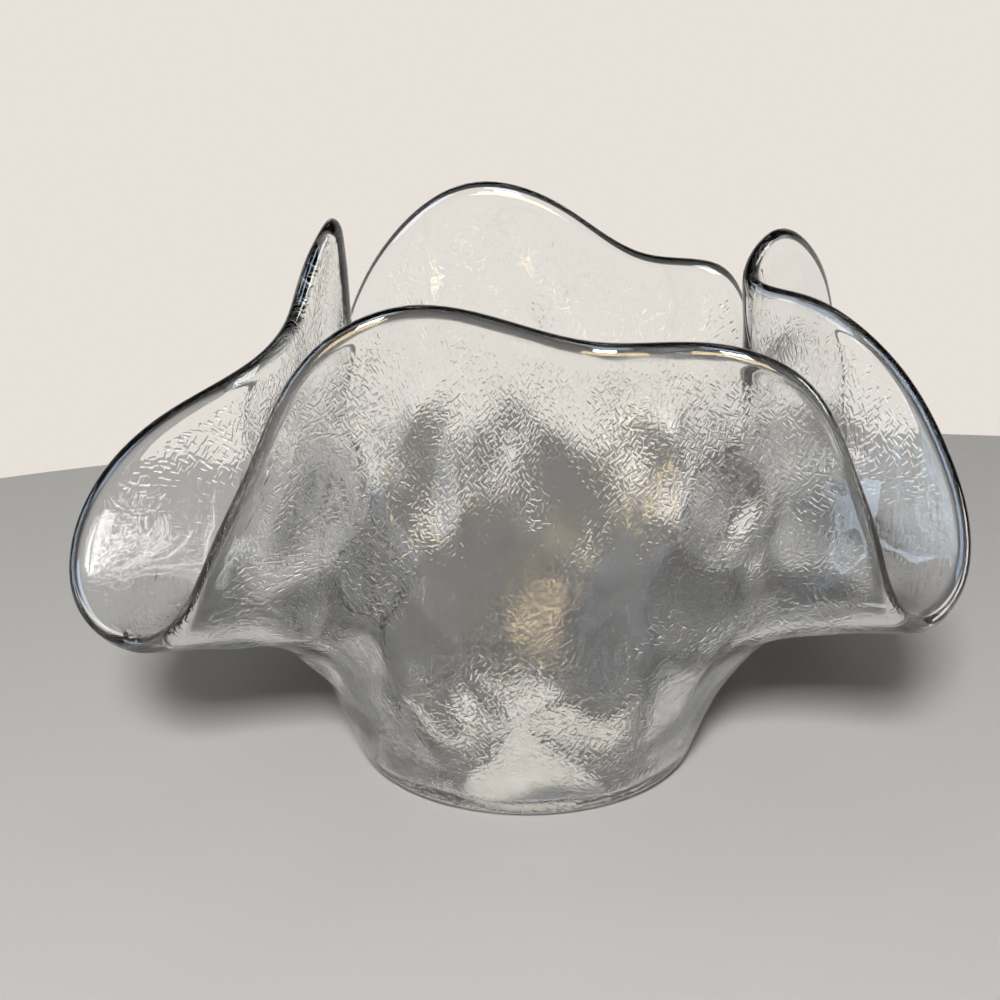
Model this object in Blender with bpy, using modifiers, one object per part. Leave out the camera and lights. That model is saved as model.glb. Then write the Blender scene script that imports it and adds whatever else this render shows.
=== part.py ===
"""Handkerchief bowl of clear glass, slumped from one sheet.

The sheet has a round flat foot. Its rim falls outward in four low gutters and
rises between them in four high lobes; the lobes at the left and the right are
pinched inward and end in a small ear.

Metres, +Z up. The origin is the middle of the foot on the table, +X runs to the
right of the front lobe and -Y is the front.
"""
import math
from typing import NamedTuple

import bmesh
import bpy
import numpy as np

MM = 0.001

# Sheet and foot
SHEET_THICKNESS = 5.0 * MM
FOOT_FLAT_RADIUS = 41.8 * MM
HEEL_RADIUS = 6.0 * MM
HEEL_TURN = math.radians(71.0)
RIM_ROUNDING = 2.2 * MM

# Reach of the rim's middle line to the side, to the back and upward
RIM_SIDE_REACH = 121.0 * MM
RIM_BACK_REACH = 94.0 * MM
RIM_PEAK_HEIGHT = 154.0 * MM

# How strongly a wall holds its direction at the heel and at the rim, as a share of its length
GUTTER_HEEL_PULL = 0.50
LOBE_HEEL_PULL = 0.38
GUTTER_RIM_PULL = 0.66
LOBE_RIM_PULL = 0.40

# Length along the rim over which the hold of the heel is evened out
WALL_BLEND = 16.0 * MM

# How far a wall's heading at the foot follows the rim's own bearing
BEARING_FOLLOW = 0.55

# Fineness of the sheet
COLUMNS = 112
COLUMN_CROWDING = 0.75
FLOOR_RINGS = 3
HEEL_RINGS = 4
WALL_RINGS = 15
RIM_ROUND_STEPS = 3

GLASS_COLOUR = (0.86, 0.88, 0.87, 1.0)
GLASS_ROUGHNESS = 0.06
GLASS_REFRACTION = 1.5


class Station(NamedTuple):
    """One place on the middle line of the rim, drawn in millimetres."""

    name: str
    right: float
    back: float
    height: float
    slope: float  # degrees above level in which the sheet runs out over the rim


RIM_STATIONS = (
    Station("front dip", 16, -57, 139.5, 92),
    Station("front right bump", 47, -63, 140.5, 84),
    Station("front right shoulder", 67.5, -67, 132.5, 78),
    Station("front right side", 80.5, -68, 110, 60),
    Station("front right fall", 88.5, -66, 89, 40),
    Station("right lip near", 95, -64.5, 72, 22),
    Station("right lip", 103.5, -61, 65, 13),
    Station("right lip far", 112.5, -54, 70, 20),
    Station("right wall foot", 116.5, -45, 82, 34),
    Station("right wall low", 112, -30, 102.5, 52),
    Station("right wall middle", 100.5, -14, 121.5, 66),
    Station("right wall high", 87.5, -2, 132, 76),
    Station("right wall top", 75.5, 9, 135.5, 88),
    Station("right pinch", 64, 19, 138.5, 94),
    Station("right ear", 71.5, 30, 148.5, 84),
    Station("right ear far", 84, 40, 141, 70),
    Station("right ear fall", 93, 52, 118, 52),
    Station("back right lip near", 101, 70, 80, 26),
    Station("back right lip", 98, 87, 66, 14),
    Station("back right lip far", 84, 92, 77, 26),
    Station("back right fall", 72, 84, 104, 52),
    Station("back right end", 61, 74, 128, 74),
    Station("back dip", 38.5, 69, 132.5, 84),
    Station("back slope", 11, 70, 148, 84),
    Station("back peak", -16.5, 73, 154, 82),
    Station("back left", -41.5, 77, 136, 72),
    Station("back left fall", -55, 84, 109, 54),
    Station("back left lip near", -67, 94, 77, 26),
    Station("back left lip", -81, 94, 64, 14),
    Station("back left lip far", -88, 79, 76, 26),
    Station("left ear fall", -73, 58, 112, 54),
    Station("left ear far", -59.5, 42, 139, 74),
    Station("left pinch", -56, 30, 152, 84),
    Station("left ear", -60.5, 21.5, 145, 90),
    Station("left wall top", -66, 11, 129, 90),
    Station("left wall high", -76, -4, 119.5, 80),
    Station("left wall middle", -98.5, -20, 109, 64),
    Station("left wall low", -114, -33, 96, 48),
    Station("left wall foot", -121, -46, 77, 28),
    Station("left lip far", -116.5, -55, 64.5, 14),
    Station("left lip", -104, -61, 59, 8),
    Station("left lip near", -92, -65, 66.5, 18),
    Station("front left fall", -80, -68.5, 89, 40),
    Station("front left side", -69, -70, 112, 60),
    Station("front left shoulder", -54, -67, 139, 80),
    Station("front left bump", -32, -63, 150, 86),
)


def clear_scene():
    """Remove every object of the open file."""
    for thing in list(bpy.data.objects):
        bpy.data.objects.remove(thing, do_unlink=True)


def glass_material():
    """Clear colourless glass."""
    material = bpy.data.materials.new("clear_glass")
    material.use_nodes = True
    shader = material.node_tree.nodes["Principled BSDF"]
    shader.inputs["Base Color"].default_value = GLASS_COLOUR
    shader.inputs["Roughness"].default_value = GLASS_ROUGHNESS
    shader.inputs["Metallic"].default_value = 0.0
    shader.inputs["IOR"].default_value = GLASS_REFRACTION
    shader.inputs["Transmission Weight"].default_value = 1.0
    return material


def rim_places():
    """Return the stations' places in metres, stretched to the rim's three reaches."""
    drawn = np.array([(s.right, s.back, s.height) for s in RIM_STATIONS])
    reach = np.array([np.abs(drawn[:, 0]).max(), drawn[:, 1].max(), drawn[:, 2].max()])
    return drawn / reach * np.array([RIM_SIDE_REACH, RIM_BACK_REACH, RIM_PEAK_HEIGHT])


def lengths_along(places):
    """Return the length along the closed chain of places at each one, and the whole length last."""
    steps = np.linalg.norm(np.roll(places, -1, axis=0) - places, axis=1)
    return np.concatenate([[0.0], np.cumsum(steps)])


def closed_spline(knots, values):
    """Return a smooth closed curve through the values.

    The curve is a cubic spline with continuous curvature. It has one knot for
    each value, and its last knot is the place where it closes.
    """
    count = len(values)
    values = np.asarray(values, dtype=float).reshape(count, -1)
    gaps = np.diff(knots)
    matrix = np.zeros((count, count))
    right_side = np.zeros_like(values)
    for here in range(count):
        before, after = here - 1, (here + 1) % count
        matrix[here, before] += gaps[before]
        matrix[here, here] += 2.0 * (gaps[before] + gaps[here])
        matrix[here, after] += gaps[here]
        rise_after = (values[after] - values[here]) / gaps[here]
        rise_before = (values[here] - values[before]) / gaps[before]
        right_side[here] = 6.0 * (rise_after - rise_before)
    bends = np.linalg.solve(matrix, right_side)

    def curve(places):
        places = np.mod(places, knots[-1])
        here = np.clip(np.searchsorted(knots, places, side="right") - 1, 0, count - 1)
        after = (here + 1) % count
        gap = gaps[here][:, None]
        to_go = (knots[here + 1] - places)[:, None]
        gone = (places - knots[here])[:, None]
        bent = (bends[here] * to_go**3 + bends[after] * gone**3) / (6.0 * gap)
        straight_here = (values[here] / gap - bends[here] * gap / 6.0) * to_go
        straight_after = (values[after] / gap - bends[after] * gap / 6.0) * gone
        return bent + straight_here + straight_after

    return curve


def column_places(knots):
    """Spread the columns along the rim, closer together where the stations are."""
    count = len(knots) - 1
    length = knots[-1]
    numbers = np.arange(count + 1)
    shift = closed_spline(numbers, (knots - numbers * length / count)[:-1])
    turns = np.arange(COLUMNS) / COLUMNS
    return turns * length + COLUMN_CROWDING * shift(turns * count)[:, 0]


def heading_curve(places, knots):
    """Return the function that gives a wall's heading at the foot, in radians."""
    even = 2.0 * math.pi * knots[:-1] / knots[-1]
    bearings = np.unwrap(np.arctan2(places[:, 1], places[:, 0]))
    start = np.mean(bearings - even)
    lead = closed_spline(knots, BEARING_FOLLOW * (bearings - start - even))
    return lambda along: start + 2.0 * math.pi * along / knots[-1] + lead(along)[:, 0]


def even_out(values, knots):
    """Average the stations' values along the rim, over about WALL_BLEND to each side."""
    apart = np.abs(knots[:-1, None] - knots[None, :-1])
    apart = np.minimum(apart, knots[-1] - apart)
    gaps = np.diff(knots)
    held = 0.5 * (gaps + np.roll(gaps, 1))
    weights = np.exp(-0.5 * (apart / WALL_BLEND) ** 2) * held[None, :]
    return weights @ values / weights.sum(axis=1)


def pull(slopes, in_gutter, in_lobe):
    """Return the pull at the slopes, from a level gutter to an upright lobe."""
    level = np.clip(1.0 - slopes / (math.pi / 2.0), 0.0, 1.0)
    level = level * level * (3.0 - 2.0 * level)
    return in_lobe + (in_gutter - in_lobe) * level


def ring(radius, height, headings):
    """Return a level ring of places, one for each heading."""
    level = np.full(len(headings), height)
    return np.stack([radius * np.cos(headings), radius * np.sin(headings), level], axis=1)


def heel_ring(turn, headings):
    """Return the ring of the heel where the sheet has turned up by the angle."""
    radius = FOOT_FLAT_RADIUS + HEEL_RADIUS * math.sin(turn)
    height = SHEET_THICKNESS / 2.0 + HEEL_RADIUS * (1.0 - math.cos(turn))
    return ring(radius, height, headings)


def directions(bearings, slopes):
    """Return unit directions at the bearings, each raised above level by its slope."""
    level = np.cos(slopes)
    return np.stack([level * np.cos(bearings), level * np.sin(bearings), np.sin(slopes)], axis=1)


def wall_rings(rim, slopes, headings, heel_holds, rim_holds):
    """Return the rings of the wall, from above the heel to the rim."""
    heel = heel_ring(HEEL_TURN, headings)
    out_of_heel = directions(headings, np.full(len(headings), HEEL_TURN))
    out_of_rim = directions(np.arctan2(rim[:, 1], rim[:, 0]), slopes)
    low = heel + heel_holds[:, None] * out_of_heel
    high = rim - rim_holds[:, None] * out_of_rim
    rings = []
    for step in range(1, WALL_RINGS + 1):
        t = step / WALL_RINGS
        ends = (1.0 - t) ** 3 * heel + t**3 * rim
        middle = 3.0 * (1.0 - t) ** 2 * t * low + 3.0 * (1.0 - t) * t * t * high
        rings.append(ends + middle)
    return rings


def sheet_rings():
    """Return the rings of the sheet's middle surface, from the floor out to the rim."""
    stations = rim_places()
    slopes = np.radians([station.slope for station in RIM_STATIONS])
    knots = lengths_along(stations)
    heading = heading_curve(stations, knots)
    chords = np.linalg.norm(stations - heel_ring(HEEL_TURN, heading(knots[:-1])), axis=1)
    heel_holds = even_out(pull(slopes, GUTTER_HEEL_PULL, LOBE_HEEL_PULL) * chords, knots)
    rim_holds = even_out(pull(slopes, GUTTER_RIM_PULL, LOBE_RIM_PULL) * chords, knots)

    along = column_places(knots)
    headings = heading(along)
    rings = []
    for step in range(1, FLOOR_RINGS + 1):
        rings.append(ring(FOOT_FLAT_RADIUS * step / FLOOR_RINGS, SHEET_THICKNESS / 2.0, headings))
    for step in range(1, HEEL_RINGS + 1):
        rings.append(heel_ring(HEEL_TURN * step / HEEL_RINGS, headings))
    return rings + wall_rings(
        closed_spline(knots, stations)(along),
        closed_spline(knots, slopes)(along)[:, 0],
        headings,
        closed_spline(knots, heel_holds)(along)[:, 0],
        closed_spline(knots, rim_holds)(along)[:, 0],
    )


def lay_first_ring(mesh, first_ring):
    """Start the floor with a fan of faces and number its outer points by column."""
    column = mesh.verts.layers.int.new("column")
    radius = float(np.linalg.norm(first_ring[0, :2]))
    fan = bmesh.ops.create_circle(
        mesh, cap_ends=True, cap_tris=True, radius=radius, segments=len(first_ring)
    )
    start = math.atan2(first_ring[0, 1], first_ring[0, 0])

    def turn(point):
        return (math.atan2(point.co.y, point.co.x) - start + 0.001) % (2.0 * math.pi)

    middle = min(fan["verts"], key=lambda point: point.co.xy.length)
    middle.co.z = first_ring[0, 2]
    outer = sorted((point for point in fan["verts"] if point is not middle), key=turn)
    for number, point in enumerate(outer):
        point[column] = number
        point.co = first_ring[number]
    return column


def loft_sheet(rings):
    """Loft the sheet by drawing out its edge from one ring to the next."""
    mesh = bmesh.new()
    column = lay_first_ring(mesh, rings[0])
    for places in rings[1:]:
        edge = [e for e in mesh.edges if e.is_boundary]
        drawn = bmesh.ops.extrude_edge_only(mesh, edges=edge)
        for point in drawn["geom"]:
            if isinstance(point, bmesh.types.BMVert):
                point.co = places[point[column]]
    bmesh.ops.recalc_face_normals(mesh, faces=mesh.faces)
    return mesh


def make_bowl():
    """Make the bowl's sheet, give it its thickness and round its rim."""
    sheet = loft_sheet(sheet_rings())
    data = bpy.data.meshes.new("bowl")
    sheet.to_mesh(data)
    sheet.free()
    data.shade_smooth()
    data.materials.append(glass_material())
    bowl = bpy.data.objects.new("bowl", data)

    thicken = bowl.modifiers.new("sheet thickness", "SOLIDIFY")
    thicken.thickness = SHEET_THICKNESS
    thicken.offset = 0.0

    rounding = bowl.modifiers.new("rim rounding", "BEVEL")
    rounding.width = min(RIM_ROUNDING, 0.48 * SHEET_THICKNESS)
    rounding.segments = RIM_ROUND_STEPS
    rounding.limit_method = "ANGLE"
    rounding.angle_limit = math.radians(60.0)
    return bowl


def main():
    clear_scene()
    collection = bpy.data.collections.new("handkerchief_bowl")
    bpy.context.scene.collection.children.link(collection)
    collection.objects.link(make_bowl())


main()
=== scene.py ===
"""Looks of the glass handkerchief bowl.

The bowl is one sheet of clear glass that was laid flat, with a fine pressed
texture on its under face, and slumped: a round flat foot, four low gutters that
fold outward and four high lobes. Its rim is fire-polished, so the texture fades
a few millimetres before it.

Metres, +Z up. The origin is the middle of the foot, -Y is the front.
"""
from __future__ import annotations

import logging
import math
from collections.abc import Sequence
from dataclasses import dataclass
from enum import Enum
from typing import NamedTuple

import bpy
import numpy as np
from mathutils import Euler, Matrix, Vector


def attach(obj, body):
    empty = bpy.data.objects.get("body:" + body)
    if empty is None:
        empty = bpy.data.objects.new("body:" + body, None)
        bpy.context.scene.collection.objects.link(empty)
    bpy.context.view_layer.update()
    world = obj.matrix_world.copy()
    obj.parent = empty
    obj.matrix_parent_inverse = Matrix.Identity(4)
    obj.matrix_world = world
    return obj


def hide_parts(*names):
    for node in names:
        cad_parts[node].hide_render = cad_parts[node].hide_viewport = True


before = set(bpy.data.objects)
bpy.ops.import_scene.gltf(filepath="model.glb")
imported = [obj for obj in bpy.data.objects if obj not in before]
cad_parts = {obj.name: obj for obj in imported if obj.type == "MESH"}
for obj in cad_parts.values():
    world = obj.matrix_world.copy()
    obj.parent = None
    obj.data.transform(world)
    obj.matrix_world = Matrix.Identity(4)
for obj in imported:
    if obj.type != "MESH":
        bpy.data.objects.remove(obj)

MM = 0.001
NODE = "bowl"
BODY = "root"
SHEET_MAP = "sheet"
BOWL_MIDDLE = (0.0, 0.0, 0.07)
Colour = tuple[float, float, float, float]

log = logging.getLogger("bowl")


class Station(NamedTuple):
    """One place on the middle line of the rim, drawn in millimetres."""

    name: str
    right: float
    back: float
    height: float
    slope: float


RIM_STATIONS = (
    Station("front dip", 16, -57, 139.5, 92),
    Station("front right bump", 47, -63, 140.5, 84),
    Station("front right shoulder", 67.5, -67, 132.5, 78),
    Station("front right side", 80.5, -68, 110, 60),
    Station("front right fall", 88.5, -66, 89, 40),
    Station("right lip near", 95, -64.5, 72, 22),
    Station("right lip", 103.5, -61, 65, 13),
    Station("right lip far", 112.5, -54, 70, 20),
    Station("right wall foot", 116.5, -45, 82, 34),
    Station("right wall low", 112, -30, 102.5, 52),
    Station("right wall middle", 100.5, -14, 121.5, 66),
    Station("right wall high", 87.5, -2, 132, 76),
    Station("right wall top", 75.5, 9, 135.5, 88),
    Station("right pinch", 64, 19, 138.5, 94),
    Station("right ear", 71.5, 30, 148.5, 84),
    Station("right ear far", 84, 40, 141, 70),
    Station("right ear fall", 93, 52, 118, 52),
    Station("back right lip near", 101, 70, 80, 26),
    Station("back right lip", 98, 87, 66, 14),
    Station("back right lip far", 84, 92, 77, 26),
    Station("back right fall", 72, 84, 104, 52),
    Station("back right end", 61, 74, 128, 74),
    Station("back dip", 38.5, 69, 132.5, 84),
    Station("back slope", 11, 70, 148, 84),
    Station("back peak", -16.5, 73, 154, 82),
    Station("back left", -41.5, 77, 136, 72),
    Station("back left fall", -55, 84, 109, 54),
    Station("back left lip near", -67, 94, 77, 26),
    Station("back left lip", -81, 94, 64, 14),
    Station("back left lip far", -88, 79, 76, 26),
    Station("left ear fall", -73, 58, 112, 54),
    Station("left ear far", -59.5, 42, 139, 74),
    Station("left pinch", -56, 30, 152, 84),
    Station("left ear", -60.5, 21.5, 145, 90),
    Station("left wall top", -66, 11, 129, 90),
    Station("left wall high", -76, -4, 119.5, 80),
    Station("left wall middle", -98.5, -20, 109, 64),
    Station("left wall low", -114, -33, 96, 48),
    Station("left wall foot", -121, -46, 77, 28),
    Station("left lip far", -116.5, -55, 64.5, 14),
    Station("left lip", -104, -61, 59, 8),
    Station("left lip near", -92, -65, 66.5, 18),
    Station("front left fall", -80, -68.5, 89, 40),
    Station("front left side", -69, -70, 112, 60),
    Station("front left shoulder", -54, -67, 139, 80),
    Station("front left bump", -32, -63, 150, 86),
)


class ClosedSpline:
    """A smooth closed curve through values, with continuous curvature."""

    def __init__(self, knots: np.ndarray, values: np.ndarray) -> None:
        """Solve the cubic spline.

        Args:
            knots: place of each value along the curve, and the whole length last.
            values: one value or one row of values for each knot but the last.
        """
        count = len(values)
        self.knots = np.asarray(knots, dtype=float)
        self.values = np.asarray(values, dtype=float).reshape(count, -1)
        self.gaps = np.diff(self.knots)
        matrix = np.zeros((count, count))
        target = np.zeros_like(self.values)
        for here in range(count):
            before, after = here - 1, (here + 1) % count
            matrix[here, before] += self.gaps[before]
            matrix[here, here] += 2.0 * (self.gaps[before] + self.gaps[here])
            matrix[here, after] += self.gaps[here]
            rise_after = (self.values[after] - self.values[here]) / self.gaps[here]
            rise_before = (self.values[here] - self.values[before]) / self.gaps[before]
            target[here] = 6.0 * (rise_after - rise_before)
        self.bends = np.linalg.solve(matrix, target)

    def __call__(self, places: np.ndarray) -> np.ndarray:
        """Read the curve.

        Args:
            places: places along the curve.

        Returns:
            One row of values for each place.
        """
        count = len(self.values)
        places = np.mod(places, self.knots[-1])
        here = np.clip(np.searchsorted(self.knots, places, side="right") - 1, 0, count - 1)
        after = (here + 1) % count
        gap = self.gaps[here][:, None]
        to_go = (self.knots[here + 1] - places)[:, None]
        gone = (places - self.knots[here])[:, None]
        bent = (self.bends[here] * to_go**3 + self.bends[after] * gone**3) / (6.0 * gap)
        straight_here = (self.values[here] / gap - self.bends[here] * gap / 6.0) * to_go
        straight_after = (self.values[after] / gap - self.bends[after] * gap / 6.0) * gone
        return bent + straight_here + straight_after


@dataclass(frozen=True)
class SheetForm:
    """The slumped form of the sheet's middle surface, with its sizes in metres."""

    thickness: float = 5.0 * MM
    foot_flat_radius: float = 41.8 * MM
    heel_radius: float = 6.0 * MM
    heel_turn: float = math.radians(71.0)
    side_reach: float = 121.0 * MM
    back_reach: float = 94.0 * MM
    peak_height: float = 153.9 * MM
    gutter_heel_pull: float = 0.50
    lobe_heel_pull: float = 0.38
    gutter_rim_pull: float = 0.66
    lobe_rim_pull: float = 0.40
    wall_blend: float = 16.0 * MM
    bearing_follow: float = 0.55
    column_crowding: float = 0.5
    ring_crowding: float = 1.3
    first_ring: float = 0.02
    fine_steps: int = 6

    def rim_places(self) -> np.ndarray:
        """Stretch the drawn stations to the rim's three reaches.

        Returns:
            The stations' places.
        """
        drawn = np.array([(s.right, s.back, s.height) for s in RIM_STATIONS])
        reach = np.array([np.abs(drawn[:, 0]).max(), drawn[:, 1].max(), drawn[:, 2].max()])
        return drawn / reach * np.array([self.side_reach, self.back_reach, self.peak_height])

    def columns_along(self, knots: np.ndarray, columns: int) -> np.ndarray:
        """Spread the columns along the rim, closer together where the stations are.

        Args:
            knots: the stations' places along the rim, and its whole length.
            columns: number of columns.

        Returns:
            Each column's place along the rim.
        """
        count = len(knots) - 1
        numbers = np.arange(count + 1)
        shift = ClosedSpline(numbers, (knots - numbers * knots[-1] / count)[:-1])
        turns = np.arange(columns) / columns
        return turns * knots[-1] + self.column_crowding * shift(turns * count)[:, 0]

    def even_out(self, values: np.ndarray, knots: np.ndarray) -> np.ndarray:
        """Average the stations' values along the rim.

        Args:
            values: one value for each station.
            knots: the stations' places along the rim, and its whole length.

        Returns:
            The values, each drawn towards its neighbours'.
        """
        apart = np.abs(knots[:-1, None] - knots[None, :-1])
        apart = np.minimum(apart, knots[-1] - apart)
        gaps = np.diff(knots)
        held = 0.5 * (gaps + np.roll(gaps, 1))
        weights = np.exp(-0.5 * (apart / self.wall_blend) ** 2) * held[None, :]
        return weights @ values / weights.sum(axis=1)

    def heel_ring(self, turn: float, headings: np.ndarray) -> np.ndarray:
        """Work out one ring of the heel.

        Args:
            turn: how far the sheet has turned up there.
            headings: the heading of each column.

        Returns:
            The ring's places.
        """
        radius = self.foot_flat_radius + self.heel_radius * math.sin(turn)
        height = self.thickness / 2.0 + self.heel_radius * (1.0 - math.cos(turn))
        return level_ring(radius, height, headings)

    def middle(self, columns: int, floor: int, heel: int, wall: int) -> tuple[np.ndarray, np.ndarray]:
        """Work out the middle surface.

        Args:
            columns: number of columns round the bowl.
            floor: number of rings on the floor.
            heel: number of rings on the heel.
            wall: number of rings on the wall.

        Returns:
            The places, as rings of columns, and the heading of each column.
        """
        stations = self.rim_places()
        slopes = np.radians([station.slope for station in RIM_STATIONS])
        steps = np.linalg.norm(np.roll(stations, -1, axis=0) - stations, axis=1)
        knots = np.concatenate([[0.0], np.cumsum(steps)])

        even = 2.0 * math.pi * knots[:-1] / knots[-1]
        bearings = np.unwrap(np.arctan2(stations[:, 1], stations[:, 0]))
        start = float(np.mean(bearings - even))
        lead = self.bearing_follow * (bearings - start - even)
        at_stations = self.heel_ring(self.heel_turn, start + even + lead)
        chords = np.linalg.norm(stations - at_stations, axis=1)
        heel_holds = pull(slopes, self.gutter_heel_pull, self.lobe_heel_pull) * chords
        rim_holds = pull(slopes, self.gutter_rim_pull, self.lobe_rim_pull) * chords
        heel_holds = self.even_out(heel_holds, knots)
        rim_holds = self.even_out(rim_holds, knots)

        along = self.columns_along(knots, columns)
        headings = start + 2.0 * math.pi * along / knots[-1] + ClosedSpline(knots, lead)(along)[:, 0]
        rim = ClosedSpline(knots, stations)(along)
        rim_slopes = ClosedSpline(knots, slopes)(along)[:, 0]
        top_of_heel = self.heel_ring(self.heel_turn, headings)
        out_of_heel = directions(headings, np.full(columns, self.heel_turn))
        out_of_rim = directions(np.arctan2(rim[:, 1], rim[:, 0]), rim_slopes)
        low = top_of_heel + ClosedSpline(knots, heel_holds)(along) * out_of_heel
        high = rim - ClosedSpline(knots, rim_holds)(along) * out_of_rim

        rings = []
        for step in range(floor):
            radius = self.foot_flat_radius * (step + self.first_ring) / floor
            rings.append(level_ring(radius, self.thickness / 2.0, headings))
        for step in range(heel):
            rings.append(self.heel_ring(self.heel_turn * step / heel, headings))
        rings.extend(self.wall(top_of_heel, low, high, rim, wall))
        return np.array(rings), headings

    def wall(
        self, foot: np.ndarray, low: np.ndarray, high: np.ndarray, rim: np.ndarray, steps: int
    ) -> np.ndarray:
        """Work out the wall's rings, closer near the rim, up to half a thickness from it.

        Args:
            foot: where each column leaves the heel.
            low: what pulls each column out of the heel.
            high: what pulls each column down from the rim.
            rim: where each column ends.
            steps: number of steps from the heel to the rim.

        Returns:
            The places, as rings of columns.
        """
        t = np.linspace(0.0, 1.0, self.fine_steps * steps + 1)[:, None, None]
        fine = (1.0 - t) ** 3 * foot + t**3 * rim
        fine += 3.0 * (1.0 - t) ** 2 * t * low + 3.0 * (1.0 - t) * t * t * high
        run = np.linalg.norm(np.diff(fine, axis=0), axis=2).cumsum(axis=0)
        run = np.concatenate([np.zeros((1, len(foot))), run])
        rings = np.empty((steps + 1, len(foot), 3))
        for column in range(len(foot)):
            whole = run[-1, column] - self.thickness / 2.0
            stops = whole * (1.0 - np.linspace(1.0, 0.0, steps + 1) ** self.ring_crowding)
            for axis in range(3):
                rings[:, column, axis] = np.interp(stops, run[:, column], fine[:, column, axis])
        return rings


def level_ring(radius: float, height: float, headings: np.ndarray) -> np.ndarray:
    """Return a level ring of places, one for each heading."""
    level = np.full(len(headings), height)
    return np.stack([radius * np.cos(headings), radius * np.sin(headings), level], axis=1)


def directions(bearings: np.ndarray, slopes: np.ndarray) -> np.ndarray:
    """Return unit directions at the bearings, each raised above level by its slope."""
    level = np.cos(slopes)
    return np.stack([level * np.cos(bearings), level * np.sin(bearings), np.sin(slopes)], axis=1)


def pull(slopes: np.ndarray, in_gutter: float, in_lobe: float) -> np.ndarray:
    """Work out how hard the sheet is drawn straight before it turns.

    Args:
        slopes: the slopes at the rim.
        in_gutter: the pull where the rim is level.
        in_lobe: the pull where the rim is upright.

    Returns:
        The pull at each slope.
    """
    level = np.clip(1.0 - slopes / (math.pi / 2.0), 0.0, 1.0)
    level = level * level * (3.0 - 2.0 * level)
    return in_lobe + (in_gutter - in_lobe) * level


def deselect_all() -> None:
    """Leave nothing selected, so that an operator acts on the new piece alone."""
    bpy.ops.object.select_all(action="DESELECT")


class SheetPoints(NamedTuple):
    """The points of the glass's surface, each as rings of columns.

    The rings go from the middle of the foot's underside up the outer face, round
    the rim and down the inner face to the middle of the floor.
    """

    places: np.ndarray
    flat: np.ndarray
    to_rim: np.ndarray
    on_outside: np.ndarray


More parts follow.
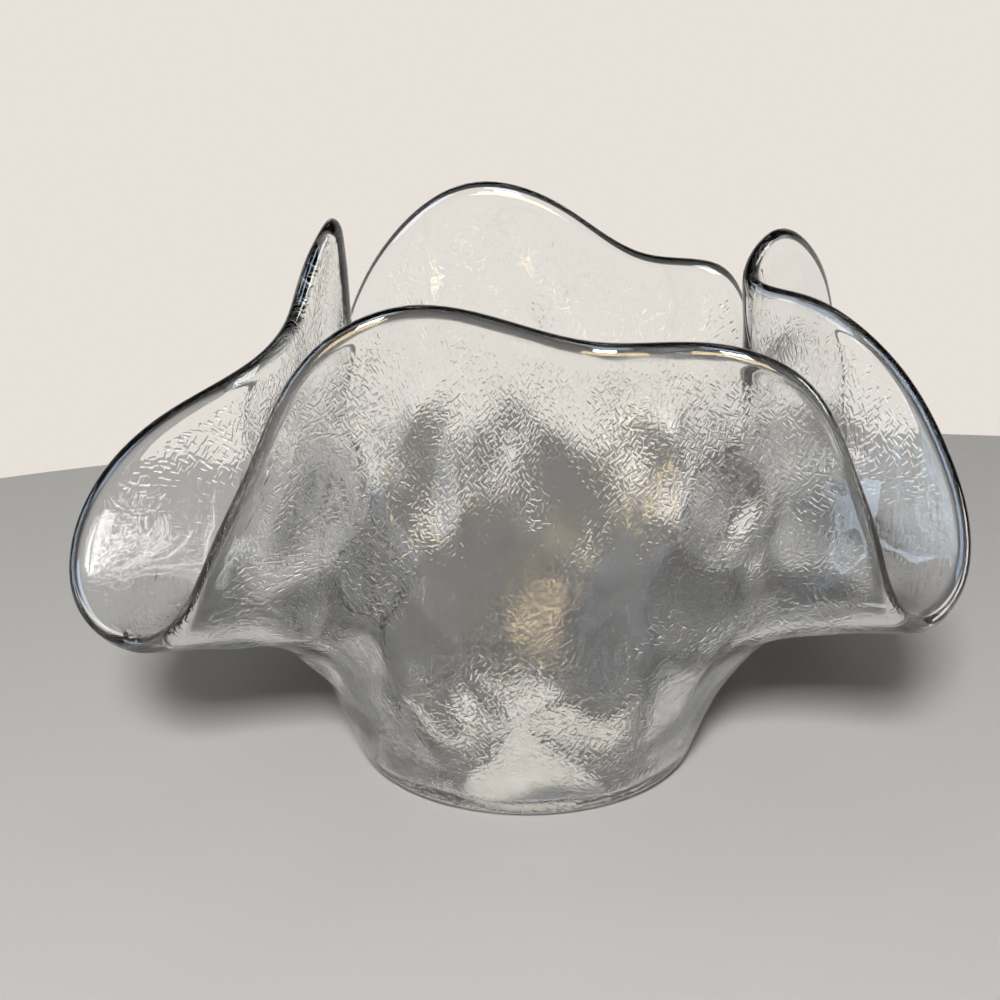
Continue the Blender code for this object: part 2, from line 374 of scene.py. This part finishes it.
@dataclass
class GlassBowl:
    """The bowl's sheet of glass as one closed, smooth mesh."""

    form: SheetForm = SheetForm()
    columns: int = 400
    floor_rings: int = 14
    heel_rings: int = 10
    wall_rings: int = 80
    rim_steps: int = 10
    rounded_width: float = 4.4 * MM
    polished_width: float = 34.0 * MM
    waves: int = 9
    wave_length: float = 28.0 * MM
    wave_spread: tuple[float, float] = (0.7, 1.6)
    wave_height: float = 0.42 * MM
    inner_seed: int = 5
    outer_seed: int = 11
    even_foot: float = 12.0 * MM
    joined_under: float = 0.02 * MM

    def surface(self) -> SheetPoints:
        """Work out the glass's whole surface.

        Returns:
            The places, the places on the flat sheet before it was slumped, the
            length of sheet from each place to the rim, and 1 on the outer face.
        """
        middle, headings = self.form.middle(
            self.columns, self.floor_rings, self.heel_rings, self.wall_rings
        )
        around = np.roll(middle, -1, axis=1) - np.roll(middle, 1, axis=1)
        outward = np.gradient(middle, axis=0)
        normals = np.cross(around, outward)
        normals /= np.linalg.norm(normals, axis=2, keepdims=True)

        steps = np.linalg.norm(np.diff(middle, axis=0), axis=2)
        run = np.concatenate([np.zeros((1, self.columns)), np.cumsum(steps, axis=0)])
        run += np.linalg.norm(middle[0, :, :2], axis=1)[None, :]
        flat = np.stack([run * np.cos(headings), run * np.sin(headings)], axis=2)
        to_rim = run[-1][None, :] - run

        half = self.form.thickness / 2.0
        short_of = np.clip(1.0 - (to_rim + half) / self.rounded_width, 0.0, 1.0)
        holds = half * np.sqrt(1.0 - short_of**2)
        above_foot = np.clip((middle[:, :, 2] - self.even_foot) / self.even_foot, 0.0, 1.0)
        outer_waves = above_foot * self.unevenness(flat, to_rim, self.outer_seed)
        inner_waves = self.unevenness(flat, to_rim, self.inner_seed)
        outer = middle + (holds + outer_waves)[:, :, None] * normals
        inner = middle - (holds + inner_waves)[:, :, None] * normals
        bead = self.bead(middle[-1], normals[-1], outward[-1])

        flat_bead = np.repeat(flat[-1:], len(bead), axis=0)
        rim_zero = np.zeros((len(bead), self.columns))
        return SheetPoints(
            places=np.concatenate([outer, bead, inner[::-1]]),
            flat=np.concatenate([flat, flat_bead, flat[::-1]]),
            to_rim=np.concatenate([to_rim, rim_zero, to_rim[::-1]]),
            on_outside=np.concatenate([np.ones_like(run), rim_zero, np.zeros_like(run)]),
        )

    def bead(self, edge: np.ndarray, normals: np.ndarray, outward: np.ndarray) -> np.ndarray:
        """Round the fire-polished rim as half an ellipse from face to face.

        Args:
            edge: the last ring of the middle surface.
            normals: the outer face's normals there.
            outward: where the sheet heads there.

        Returns:
            The bead's rings, without the ones that it shares with the two faces.
        """
        half = self.form.thickness / 2.0
        over_rim = outward / np.linalg.norm(outward, axis=1, keepdims=True)
        last = math.acos(1.0 - half / self.rounded_width)
        rings = []
        for turn in np.linspace(last, -last, self.rim_steps + 1)[1:-1]:
            ahead = self.rounded_width * (math.cos(turn) - math.cos(last))
            rings.append(edge + half * math.sin(turn) * normals + ahead * over_rim)
        return np.array(rings)

    def unevenness(self, flat: np.ndarray, to_rim: np.ndarray, seed: int) -> np.ndarray:
        """Work out how far a face of the sheet swells.

        Args:
            flat: the places on the flat sheet.
            to_rim: the length of sheet from each place to the rim.
            seed: seed of the waves' lengths, directions and starts.

        Returns:
            The swelling at each place, which ends before the polished rim.
        """
        draw = np.random.default_rng(seed)
        total = np.zeros(to_rim.shape)
        for _ in range(self.waves):
            length = self.wave_length * draw.uniform(*self.wave_spread)
            turn = draw.uniform(0.0, 2.0 * math.pi)
            start = draw.uniform(0.0, 2.0 * math.pi)
            across = flat[:, :, 0] * math.cos(turn) + flat[:, :, 1] * math.sin(turn)
            total += np.sin(2.0 * math.pi * across / length + start)
        total *= self.wave_height / math.sqrt(0.5 * self.waves)
        fade = np.clip(to_rim / self.polished_width, 0.0, 1.0)
        return total * fade * fade * (3.0 - 2.0 * fade)

    def build(self) -> bpy.types.Object:
        """Model the glass from a grid that is wrapped round the bowl and closed.

        Returns:
            The glass, with its UV map and its attributes.
        """
        points = self.surface()
        rings = len(points.places)
        deselect_all()
        bpy.ops.mesh.primitive_grid_add(x_subdivisions=self.columns, y_subdivisions=rings - 1, size=1.0)
        bowl = bpy.context.object
        bowl.name = "glass_bowl"
        bowl.data.name = "glass_bowl"
        mesh = bowl.data

        def wrapped(values: np.ndarray) -> np.ndarray:
            """Repeat the first column last, in the order of the grid's points."""
            closed = np.concatenate([values, values[:, :1]], axis=1)
            return closed.reshape(rings * (self.columns + 1), -1)

        mesh.vertices.foreach_set("co", wrapped(points.places).ravel())
        self.add_attribute(mesh, "to_rim", wrapped(points.to_rim[:, :, None]).ravel())
        self.add_attribute(mesh, "outside", wrapped(points.on_outside[:, :, None]).ravel())
        self.add_sheet_map(mesh, wrapped(points.flat))
        mesh.update()

        bpy.ops.object.mode_set(mode="EDIT")
        bpy.ops.mesh.select_all(action="SELECT")
        bpy.ops.mesh.remove_doubles(threshold=self.joined_under)
        bpy.ops.mesh.select_all(action="DESELECT")
        bpy.ops.mesh.select_mode(type="EDGE")
        bpy.ops.mesh.select_non_manifold()
        bpy.ops.mesh.edge_face_add()
        bpy.ops.mesh.select_all(action="SELECT")
        bpy.ops.mesh.normals_make_consistent(inside=False)
        bpy.ops.object.mode_set(mode="OBJECT")
        bpy.ops.object.shade_smooth()
        return bowl

    @staticmethod
    def dress(bowl: bpy.types.Object, glass: ClearGlass) -> None:
        """Give the outer face the pressed glass and the rest the polished glass.

        Args:
            bowl: the glass that build returned.
            glass: its finish.
        """
        mesh = bowl.data
        mesh.materials.clear()
        for face in Face:
            mesh.materials.append(glass.material(face))
        on_outside = np.empty(len(mesh.vertices), dtype=np.float32)
        mesh.attributes["outside"].data.foreach_get("value", on_outside)
        for polygon in mesh.polygons:
            pressed = on_outside[list(polygon.vertices)].max() > 0.5
            polygon.material_index = (Face.PRESSED if pressed else Face.POLISHED).value

    @staticmethod
    def add_attribute(mesh: bpy.types.Mesh, name: str, values: np.ndarray) -> None:
        """Store one number for each point of the mesh."""
        attribute = mesh.attributes.new(name, "FLOAT", "POINT")
        attribute.data.foreach_set("value", values.astype(np.float32))

    @staticmethod
    def add_sheet_map(mesh: bpy.types.Mesh, flat: np.ndarray) -> None:
        """Store the places on the flat sheet as the mesh's UV map, in metres.

        Args:
            mesh: the glass's mesh.
            flat: one place for each point of the mesh.
        """
        layer = mesh.uv_layers[0] if mesh.uv_layers else mesh.uv_layers.new()
        layer.name = SHEET_MAP
        corners = np.empty(len(mesh.loops), dtype=np.int32)
        mesh.loops.foreach_get("vertex_index", corners)
        layer.data.foreach_set("uv", flat[corners].astype(np.float32).ravel())


def wire(tree: bpy.types.NodeTree, *links: tuple) -> None:
    """Draw the wires of a node tree.

    Args:
        tree: the node tree.
        links: the wires, each as source node, output, target node and input.
    """
    for source, output, target, socket in links:
        tree.links.new(source.outputs[output], target.inputs[socket])


def add_node(tree: bpy.types.NodeTree, kind: str, **settings: object) -> bpy.types.Node:
    """Add a node and set its properties.

    Args:
        tree: the node tree.
        kind: the node's type.
        settings: the properties' names and values.

    Returns:
        The node.
    """
    node = tree.nodes.new(kind)
    for name, value in settings.items():
        setattr(node, name, value)
    return node


def math_node(
    tree: bpy.types.NodeTree,
    operation: str,
    first: bpy.types.NodeSocket | float,
    second: bpy.types.NodeSocket | float = 0.0,
    third: bpy.types.NodeSocket | float = 0.0,
) -> bpy.types.NodeSocket:
    """Add a Math node.

    Args:
        tree: the node tree.
        operation: the operation's name.
        first: a socket or a number.
        second: a socket or a number.
        third: a socket or a number.

    Returns:
        The node's output.
    """
    node = add_node(tree, "ShaderNodeMath", operation=operation)
    for slot, value in zip(node.inputs, (first, second, third)):
        if isinstance(value, (int, float)):
            slot.default_value = value
        else:
            tree.links.new(value, slot)
    return node.outputs[0]


def soft_step(
    tree: bpy.types.NodeTree,
    value: bpy.types.NodeSocket,
    start: float,
    end: float,
    low: float = 0.0,
    high: float = 1.0,
) -> bpy.types.NodeSocket:
    """Add a soft step.

    Args:
        tree: the node tree.
        value: what the step follows.
        start: the value where the step starts.
        end: the value where it ends.
        low: the result at the start.
        high: the result at the end.

    Returns:
        The step's output.
    """
    step = add_node(tree, "ShaderNodeMapRange", interpolation_type="SMOOTHSTEP")
    limits = (("From Min", start), ("From Max", end), ("To Min", low), ("To Max", high))
    for name, limit in limits:
        step.inputs[name].default_value = limit
    tree.links.new(value, step.inputs["Value"])
    return step.outputs["Result"]


def blend_colours(
    tree: bpy.types.NodeTree,
    share: bpy.types.NodeSocket,
    first: Colour | bpy.types.NodeSocket,
    second: Colour,
) -> bpy.types.NodeSocket:
    """Add a mix of two colours.

    Args:
        tree: the node tree.
        share: the second colour's share.
        first: a colour, or a socket that gives one.
        second: a colour.

    Returns:
        The mixed colour.
    """
    node = add_node(tree, "ShaderNodeMix", data_type="RGBA")
    first_slot, second_slot, mixed = node.inputs[6], node.inputs[7], node.outputs[2]
    second_slot.default_value = second
    if isinstance(first, tuple):
        first_slot.default_value = first
    else:
        tree.links.new(first, first_slot)
    tree.links.new(share, node.inputs[0])
    return mixed


class DashLayer(NamedTuple):
    """One layer of dashes. Length, width and shift count in cells, angles in radians."""

    cell: float
    length: float
    width: float
    slant: float
    stray: float
    shift: float


class DashGroup:
    """Node group of short pressed dashes, one for each cell of a loose net."""

    NAME = "pressed_dashes"
    SIZES = ("Cell", "Length", "Width", "Slant", "Stray", "Shift")
    NET_LOOSENESS = 0.9
    SHALLOWEST = 0.3

    @classmethod
    def get(cls) -> bpy.types.NodeTree:
        """Return the group, built the first time that it is asked for."""
        return bpy.data.node_groups.get(cls.NAME) or cls.build()

    @classmethod
    def build(cls) -> bpy.types.NodeTree:
        """Build the group.

        Returns:
            The group, which gives a height from 0 to 1.
        """
        group = bpy.data.node_groups.new(cls.NAME, "ShaderNodeTree")
        face = group.interface
        face.new_socket("Sheet", in_out="INPUT", socket_type="NodeSocketVector")
        for name in (*cls.SIZES, "Lie"):
            face.new_socket(name, in_out="INPUT", socket_type="NodeSocketFloat")
        face.new_socket("Height", in_out="OUTPUT", socket_type="NodeSocketFloat")
        given = add_node(group, "NodeGroupInput")
        result = add_node(group, "NodeGroupOutput")
        away, chance = cls.cells(group, given)

        side = math_node(group, "GREATER_THAN", chance.outputs[0], 0.5)
        side = math_node(group, "MULTIPLY_ADD", side, 2.0, -1.0)
        own = math_node(group, "MULTIPLY_ADD", side, given.outputs["Slant"], given.outputs["Lie"])
        stray = math_node(group, "SUBTRACT", chance.outputs[2], 0.5)
        own = math_node(group, "MULTIPLY_ADD", stray, given.outputs["Stray"], own)
        turned = add_node(group, "ShaderNodeVectorRotate", rotation_type="Z_AXIS")
        group.links.new(own, turned.inputs["Angle"])
        parts = add_node(group, "ShaderNodeSeparateXYZ")
        wire(group, (away, 0, turned, "Vector"), (turned, 0, parts, 0))
        along = math_node(group, "DIVIDE", parts.outputs["X"], given.outputs["Length"])
        across = math_node(group, "DIVIDE", parts.outputs["Y"], given.outputs["Width"])
        spread = math_node(group, "MULTIPLY", along, along)
        spread = math_node(group, "MULTIPLY", spread, spread)
        spread = math_node(group, "MULTIPLY_ADD", across, across, spread)
        bead = math_node(group, "EXPONENT", math_node(group, "MULTIPLY", spread, -1.0))
        depth = math_node(
            group, "MULTIPLY_ADD", chance.outputs[1], 1.0 - cls.SHALLOWEST, cls.SHALLOWEST
        )
        group.links.new(math_node(group, "MULTIPLY", bead, depth), result.inputs["Height"])
        return group

    @classmethod
    def cells(
        cls, group: bpy.types.NodeTree, given: bpy.types.Node
    ) -> tuple[bpy.types.Node, bpy.types.Node]:
        """Add the net of cells.

        Args:
            group: the node group.
            given: its input node.

        Returns:
            The node that gives the way from the cell's middle, and the one that
            gives three chances of the cell.
        """
        scaled = add_node(group, "ShaderNodeVectorMath", operation="SCALE")
        shifted = add_node(group, "ShaderNodeVectorMath", operation="ADD")
        shift = add_node(group, "ShaderNodeCombineXYZ")
        cells = add_node(group, "ShaderNodeTexVoronoi", voronoi_dimensions="2D", feature="F1")
        cells.inputs["Scale"].default_value = 1.0
        cells.inputs["Randomness"].default_value = cls.NET_LOOSENESS
        away = add_node(group, "ShaderNodeVectorMath", operation="SUBTRACT")
        chance = add_node(group, "ShaderNodeSeparateColor")
        group.links.new(math_node(group, "DIVIDE", 1.0, given.outputs["Cell"]), scaled.inputs["Scale"])
        wire(
            group,
            (given, "Sheet", scaled, 0),
            (scaled, 0, shifted, 0),
            (given, "Shift", shift, "X"),
            (given, "Shift", shift, "Y"),
            (shift, 0, shifted, 1),
            (shifted, 0, cells, "Vector"),
            (shifted, 0, away, 0),
            (cells, "Position", away, 1),
            (cells, "Color", chance, 0),
        )
        return away, chance


class Face(Enum):
    """The two faces of the sheet, in the order of the mesh's materials."""

    PRESSED = 0
    POLISHED = 1


@dataclass(frozen=True)
class ClearGlass:
    """Clear glass with pressed dashes on one face and a polished other face, whose colour carries
    painted shade: it turns dark grey where the glass is seen edge-on.
    """

    colour: Colour = (0.955, 0.96, 0.96, 1.0)
    # Painted shade on edges and flanks: the dark grey that the glass's colour turns to where it is seen
    # edge-on, and the Facing range over which it turns.
    painted_edge_shade: Colour = (0.30, 0.32, 0.33, 1.0)
    edge_shade_from: float = 0.50
    edge_shade_to: float = 0.92
    roughness: float = 0.0
    refraction: float = 1.5
    base_light: Colour = (0.95, 0.955, 0.955, 1.0)
    wall_light: Colour = (0.36, 0.365, 0.37, 1.0)
    edge_light: Colour = (0.03, 0.032, 0.032, 1.0)
    base_from: float = 144.0 * MM
    base_to: float = 156.0 * MM
    dash_layers: tuple[DashLayer, ...] = (
        DashLayer(2.5 * MM, 0.52, 0.11, 0.62, 0.35, 0.0),
        DashLayer(1.9 * MM, 0.55, 0.13, 0.70, 0.40, 3.7),
    )
    lie_turn: float = 1.5
    lie_scale: float = 60.0
    depth_scale: float = 45.0
    depth_from: float = 0.35
    depth_to: float = 0.65
    dash_relief: float = 0.11 * MM
    faint_relief: float = 0.045 * MM
    ripple_scale: float = 150.0
    ripple_relief: float = 0.03 * MM
    smooth_rim: float = 4.5 * MM
    ragged_by: float = 5.0 * MM
    ragged_scale: float = 320.0
    mask_fade: float = 1.5 * MM

    def material(self, face: Face) -> bpy.types.Material:
        """Build the material of one face.

        Args:
            face: the pressed or the polished face.

        Returns:
            The material.
        """
        material = bpy.data.materials.new(f"{face.name.lower()}_glass")
        material.use_nodes = True
        tree = material.node_tree
        shader = tree.nodes["Principled BSDF"]
        shader.inputs["Roughness"].default_value = self.roughness
        shader.inputs["IOR"].default_value = self.refraction
        shader.inputs["Transmission Weight"].default_value = 1.0
        # Painted shade: the Base Color goes from the clear tint to dark grey where the glass is seen
        # edge-on, which draws dark lines along its edges and flanks.
        slant = add_node(tree, "ShaderNodeLayerWeight")
        slant.inputs["Blend"].default_value = 0.5
        slant = slant.outputs["Facing"]
        edge = soft_step(tree, slant, self.edge_shade_from, self.edge_shade_to)
        tint_with_painted_shade = blend_colours(tree, edge, self.colour, self.painted_edge_shade)
        tree.links.new(tint_with_painted_shade, shader.inputs["Base Color"])

        clear = add_node(tree, "ShaderNodeBsdfTransparent")
        tree.links.new(self.light_let_through(tree, slant), clear.inputs["Color"])
        path = add_node(tree, "ShaderNodeLightPath")
        mix = add_node(tree, "ShaderNodeMixShader")
        bump = add_node(tree, "ShaderNodeBump")
        bump.inputs["Strength"].default_value = 1.0
        bump.inputs["Distance"].default_value = 1.0
        wire(
            tree,
            (path, "Is Shadow Ray", mix, 0),
            (shader, 0, mix, 1),
            (clear, 0, mix, 2),
            (mix, 0, tree.nodes["Material Output"], "Surface"),
            (bump, "Normal", shader, "Normal"),
        )
        height = self.dashes(tree) if face is Face.PRESSED else self.ripples(tree)
        tree.links.new(height, bump.inputs["Height"])
        return material

    def light_let_through(
        self, tree: bpy.types.NodeTree, slant: bpy.types.NodeSocket
    ) -> bpy.types.NodeSocket:
        """Add the share of a lamp's light that passes straight on.

        The flat base passes most of it, the textured wall scatters much of it, and
        what meets the glass at a slant hardly passes.

        Args:
            tree: the material's nodes.
            slant: 0 where the glass is met head on, 1 where it is grazed.

        Returns:
            The share, as a colour.
        """
        to_rim = add_node(tree, "ShaderNodeAttribute", attribute_name="to_rim")
        base = soft_step(tree, to_rim.outputs["Fac"], self.base_from, self.base_to)
        facing = blend_colours(tree, base, self.wall_light, self.base_light)
        return blend_colours(tree, slant, facing, self.edge_light)

    @staticmethod
    def speckle(
        tree: bpy.types.NodeTree, sheet: bpy.types.Node, scale: float, detail: float
    ) -> bpy.types.NodeSocket:
        """Add soft noise over the flat sheet.

        Args:
            tree: the material's nodes.
            sheet: the node that gives the places on the flat sheet.
            scale: how many waves there are in a metre.
            detail: how many finer layers there are.

        Returns:
            The noise, about 0.5.
        """
        noise = add_node(tree, "ShaderNodeTexNoise", noise_dimensions="2D")
        noise.inputs["Scale"].default_value = scale
        noise.inputs["Detail"].default_value = detail
        wire(tree, (sheet, 0, noise, "Vector"))
        return noise.outputs["Fac"]

    def ripples(self, tree: bpy.types.NodeTree) -> bpy.types.NodeSocket:
        """Add the polished face's faint ripples.

        Args:
            tree: the material's nodes.

        Returns:
            The ripples' height in metres.
        """
        sheet = add_node(tree, "ShaderNodeUVMap", uv_map=SHEET_MAP)
        ripple = self.speckle(tree, sheet, self.ripple_scale, 0.0)
        return math_node(tree, "MULTIPLY", ripple, self.ripple_relief)

    def dashes(self, tree: bpy.types.NodeTree) -> bpy.types.NodeSocket:
        """Add the pressed face's dashes, deeper in some places than in others.

        Args:
            tree: the material's nodes.

        Returns:
            The dashes' height in metres.
        """
        sheet = add_node(tree, "ShaderNodeUVMap", uv_map=SHEET_MAP)
        lie = self.speckle(tree, sheet, self.lie_scale, 0.0)
        lie = math_node(tree, "MULTIPLY_ADD", lie, self.lie_turn, -0.5 * self.lie_turn)
        total: bpy.types.NodeSocket | float = 0.0
        for layer in self.dash_layers:
            dashes = add_node(tree, "ShaderNodeGroup", node_tree=DashGroup.get())
            wire(tree, (sheet, 0, dashes, "Sheet"))
            tree.links.new(lie, dashes.inputs["Lie"])
            for name, size in zip(DashGroup.SIZES, layer):
                dashes.inputs[name].default_value = size
            total = math_node(tree, "ADD", total, dashes.outputs["Height"])
        pressed = self.speckle(tree, sheet, self.depth_scale, 1.0)
        relief = soft_step(
            tree, pressed, self.depth_from, self.depth_to, self.faint_relief, self.dash_relief
        )
        height = math_node(tree, "MULTIPLY", total, self.textured(tree, sheet))
        return math_node(tree, "MULTIPLY", height, relief)

    def textured(self, tree: bpy.types.NodeTree, sheet: bpy.types.Node) -> bpy.types.NodeSocket:
        """Add the mask of the textured part, with a ragged edge before the rim.

        Args:
            tree: the material's nodes.
            sheet: the node that gives the places on the flat sheet.

        Returns:
            1 where the sheet is textured, else 0.
        """
        to_rim = add_node(tree, "ShaderNodeAttribute", attribute_name="to_rim")
        outside = add_node(tree, "ShaderNodeAttribute", attribute_name="outside")
        ragged = self.speckle(tree, sheet, self.ragged_scale, 1.0)
        nearest = self.smooth_rim - 0.5 * self.ragged_by
        edge = math_node(tree, "MULTIPLY_ADD", ragged, self.ragged_by, nearest)
        past = math_node(tree, "SUBTRACT", to_rim.outputs["Fac"], edge)
        step = soft_step(tree, past, 0.0, self.mask_fade)
        return math_node(tree, "MULTIPLY", step, outside.outputs["Fac"])


@dataclass(frozen=True)
class PlainPaint:
    """A matt pale surface of the studio."""

    name: str
    colour: Colour
    roughness: float = 0.6

    def material(self) -> bpy.types.Material:
        """Build the material.

        Returns:
            The material.
        """
        material = bpy.data.materials.new(self.name)
        material.use_nodes = True
        shader = material.node_tree.nodes["Principled BSDF"]
        shader.inputs["Base Color"].default_value = self.colour
        shader.inputs["Roughness"].default_value = self.roughness
        return material


def turned_to_bowl(place: tuple[float, float, float], axis: str) -> Euler:
    """Work out the turn that makes an axis look at the middle of the bowl.

    Args:
        place: where the lamp or pane is.
        axis: the axis that looks at the bowl, such as -Z.

    Returns:
        The turn.
    """
    aim = Vector(BOWL_MIDDLE) - Vector(place)
    return aim.to_track_quat(axis, "Y").to_euler()


@dataclass(frozen=True)
class SoftBox:
    """A square soft box that looks at the bowl."""

    name: str
    place: tuple[float, float, float]
    size: float
    watts: float

    def build(self) -> None:
        """Add the lamp."""
        deselect_all()
        bpy.ops.object.light_add(type="AREA", location=self.place)
        lamp = bpy.context.object
        lamp.name = self.name
        lamp.data.shape = "SQUARE"
        lamp.data.size = self.size
        lamp.data.energy = self.watts
        lamp.rotation_euler = turned_to_bowl(self.place, "-Z")


@dataclass(frozen=True)
class Snoot:
    """A narrow lamp straight over the bowl, which lights the table under its base."""

    height: float = 1.2
    watts: float = 95.0
    opening: float = math.radians(5.4)
    softness: float = 0.45
    size: float = 0.02
    colour: tuple[float, float, float] = (1.0, 0.94, 0.87)

    def build(self) -> None:
        """Add the lamp."""
        deselect_all()
        bpy.ops.object.light_add(type="SPOT", location=(0.0, 0.0, self.height))
        snoot = bpy.context.object
        snoot.name = "snoot"
        snoot.data.energy = self.watts
        snoot.data.color = self.colour
        snoot.data.spot_size = self.opening
        snoot.data.spot_blend = self.softness
        snoot.data.shadow_soft_size = self.size


@dataclass(frozen=True)
class WindowPane:
    """A bright pane that only glass and gloss show, so it lights nothing else."""

    name: str
    place: tuple[float, float, float]
    size: tuple[float, float]
    strength: float
    colour: Colour

    def build(self) -> None:
        """Add the pane, turned to the middle of the bowl."""
        deselect_all()
        turn = turned_to_bowl(self.place, "Z")
        bpy.ops.mesh.primitive_plane_add(size=1.0, location=self.place, rotation=turn)
        pane = bpy.context.object
        pane.name = self.name
        pane.scale = (self.size[0], self.size[1], 1.0)
        material = bpy.data.materials.new(self.name)
        material.use_nodes = True
        tree = material.node_tree
        glow = add_node(tree, "ShaderNodeEmission")
        glow.inputs["Color"].default_value = self.colour
        glow.inputs["Strength"].default_value = self.strength
        wire(tree, (glow, 0, tree.nodes["Material Output"], "Surface"))
        material.cycles.emission_sampling = "NONE"
        pane.data.materials.append(material)
        pane.visible_camera = False
        pane.visible_diffuse = False
        pane.visible_shadow = False


@dataclass
class Studio:
    """The table, the room, the light and the camera."""

    table_centre: tuple[float, float] = (0.10, 0.04)
    table_size: tuple[float, float] = (0.96, 0.52)
    table_sides: int = 256
    table_colour: Colour = (0.44, 0.43, 0.415, 1.0)
    wall_colour: Colour = (0.80, 0.755, 0.70, 1.0)
    ceiling_colour: Colour = (0.03, 0.03, 0.032, 1.0)
    behind_fade: tuple[float, float] = (0.20, 0.65)
    ceiling_fade: tuple[float, float] = (0.90, 0.55)
    level_fade: tuple[float, float] = (0.32, 0.08)
    ambient: float = 0.035
    soft_boxes: tuple[SoftBox, ...] = (
        SoftBox("key", (-0.10, -1.28, 0.98), 0.28, 43.0),
        SoftBox("overhead", (0.15, 0.25, 1.7), 0.30, 0.8),
    )
    snoot: Snoot = Snoot()
    panes: tuple[WindowPane, ...] = (
        WindowPane("left_pane", (-1.2, -0.6, 0.9), (0.7, 0.9), 6.0, (0.62, 0.80, 1.0, 1.0)),
        WindowPane("right_pane", (1.2, -0.7, 0.8), (0.5, 0.8), 13.0, (1.0, 0.99, 0.97, 1.0)),
        WindowPane("warm_pane", (-0.15, -1.35, 0.62), (0.6, 0.35), 15.0, (1.0, 0.76, 0.42, 1.0)),
        WindowPane("sky_pane", (-0.10, -0.95, 1.35), (0.5, 0.4), 9.0, (0.50, 0.72, 1.0, 1.0)),
        WindowPane("back_pane", (-0.4, 1.3, 1.2), (0.5, 0.3), 5.0, (1.0, 1.0, 1.0, 1.0)),
    )
    camera_place: tuple[float, float, float] = (-0.00746, -0.5363, 0.2721)
    camera_pitch: float = math.radians(20.0)
    lens: float = 72.0
    sensor_width: float = 36.0
    bounces: int = 10
    diffuse_bounces: int = 1
    glossy_bounces: int = 5

    def add_table(self) -> None:
        """Add the pale oval table top that the bowl stands on."""
        deselect_all()
        across, back = self.table_centre
        bpy.ops.mesh.primitive_circle_add(
            vertices=self.table_sides, radius=0.5, fill_type="NGON", location=(across, back, 0.0)
        )
        table = bpy.context.object
        table.name = "table"
        table.scale = (*self.table_size, 1.0)
        table.data.materials.append(PlainPaint("pale_table", self.table_colour).material())

    def add_room(self) -> None:
        """Give the world a pale wall all round and a ceiling that is dark in front."""
        world = bpy.data.worlds.new("room")
        bpy.context.scene.world = world
        world.use_nodes = True
        tree = world.node_tree
        room = tree.nodes["Background"]
        place = add_node(tree, "ShaderNodeTexCoord")
        parts = add_node(tree, "ShaderNodeSeparateXYZ")
        path = add_node(tree, "ShaderNodeLightPath")
        wire(tree, (place, "Generated", parts, 0))
        behind = soft_step(tree, parts.outputs["Y"], *self.behind_fade)
        under_ceiling = soft_step(tree, parts.outputs["Z"], *self.ceiling_fade)
        level = soft_step(tree, parts.outputs["Z"], *self.level_fade)
        walled = math_node(tree, "MULTIPLY", behind, under_ceiling)
        walled = math_node(tree, "MAXIMUM", walled, level)
        walled = math_node(tree, "MAXIMUM", walled, path.outputs["Is Camera Ray"])
        colour = blend_colours(tree, walled, self.ceiling_colour, self.wall_colour)
        tree.links.new(colour, room.inputs["Color"])

        seen = math_node(tree, "ADD", path.outputs["Is Camera Ray"], path.outputs["Is Glossy Ray"])
        seen = math_node(tree, "ADD", seen, path.outputs["Is Transmission Ray"])
        seen = math_node(tree, "MINIMUM", seen, 1.0)
        direct = math_node(tree, "LESS_THAN", path.outputs["Diffuse Depth"], 0.5)
        seen = math_node(tree, "MULTIPLY", seen, direct)
        strength = math_node(tree, "MULTIPLY_ADD", seen, 1.0 - self.ambient, self.ambient)
        tree.links.new(strength, room.inputs["Strength"])

    def add_camera(self) -> None:
        """Add the camera at the photograph's viewing angle."""
        tilt = math.radians(90.0) - self.camera_pitch
        bpy.ops.object.camera_add(location=self.camera_place, rotation=(tilt, 0.0, 0.0))
        camera = bpy.context.object
        camera.name = "camera"
        camera.data.lens = self.lens
        camera.data.sensor_width = self.sensor_width
        bpy.context.scene.camera = camera

    def set_light_paths(self) -> None:
        """Set how the light is followed through the glass."""
        scene = bpy.context.scene
        scene.view_settings.view_transform = "Standard"
        scene.cycles.max_bounces = self.bounces
        scene.cycles.transmission_bounces = self.bounces
        scene.cycles.diffuse_bounces = self.diffuse_bounces
        scene.cycles.glossy_bounces = self.glossy_bounces
        scene.cycles.caustics_refractive = False
        scene.cycles.caustics_reflective = False

    def build(self) -> None:
        """Set up the whole studio."""
        self.add_table()
        self.add_room()
        for light in (*self.soft_boxes, self.snoot, *self.panes):
            light.build()
        self.add_camera()
        self.set_light_paths()
        log.info("studio: %d soft boxes, a snoot and %d panes", len(self.soft_boxes), len(self.panes))


def main() -> None:
    """Build the bowl and its studio."""
    logging.basicConfig(level=logging.INFO, format="%(message)s")
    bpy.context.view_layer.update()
    bowl = GlassBowl().build()
    GlassBowl.dress(bowl, ClearGlass())
    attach(bowl, BODY)
    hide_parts(NODE)
    log.info("glass bowl: %d faces", len(bowl.data.polygons))
    Studio().build()


if __name__ == "__main__":
    main()
